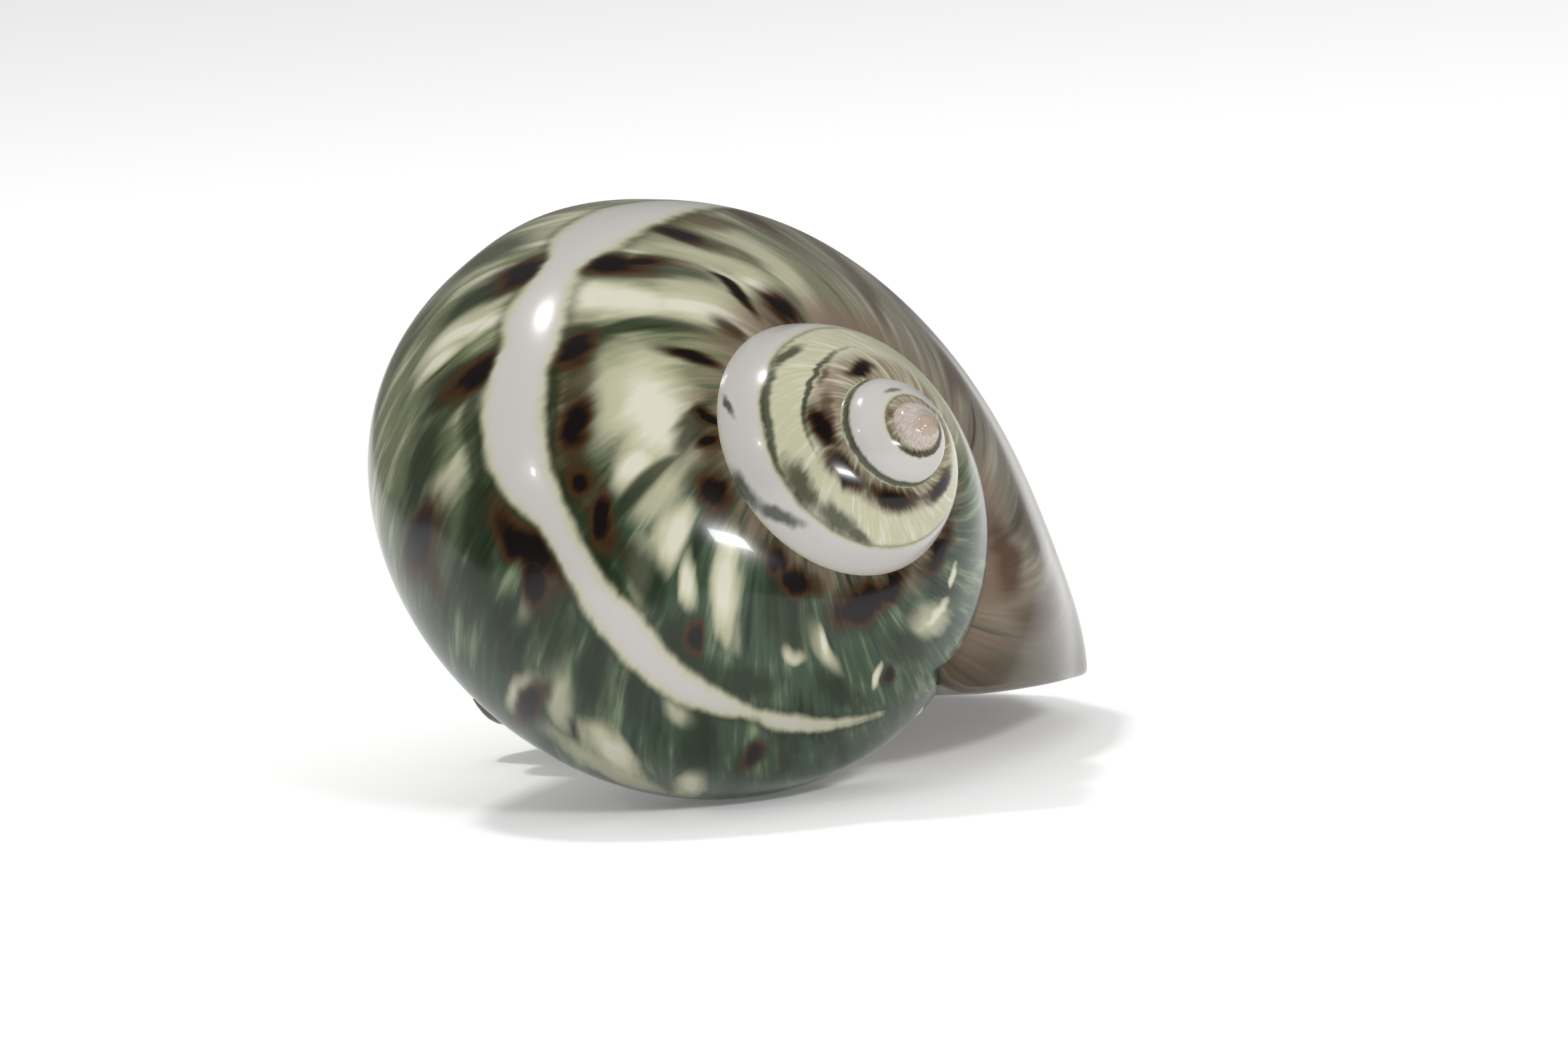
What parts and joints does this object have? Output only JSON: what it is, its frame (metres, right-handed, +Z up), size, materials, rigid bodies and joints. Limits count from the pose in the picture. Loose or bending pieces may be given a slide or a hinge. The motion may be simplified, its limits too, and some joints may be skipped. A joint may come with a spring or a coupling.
{
  "type": "turban shell",
  "caption": "Polished sea snail shell: a thick right-handed spiral with a pointed spire, a rounded shoulder, a faint keel and an open round mouth, lying on its mouth",
  "frame": {"origin": "Under the middle of the bounding box, on the surface that the shell lies on", "axes": "+Z up, -Y towards the viewer of the spire side; the shell lies on its mouth and on the belly of the last whorl, with its apex up, forward and to the right"},
  "size_m": [0.0514, 0.0624, 0.0424],
  "materials": {
    "shell": "polished shell, green and cream with a white shoulder band and dark brown spots, pearly inside the mouth"
  },
  "bodies": {
    "root": {"shell": "shell"}
  },
  "joints": []
}
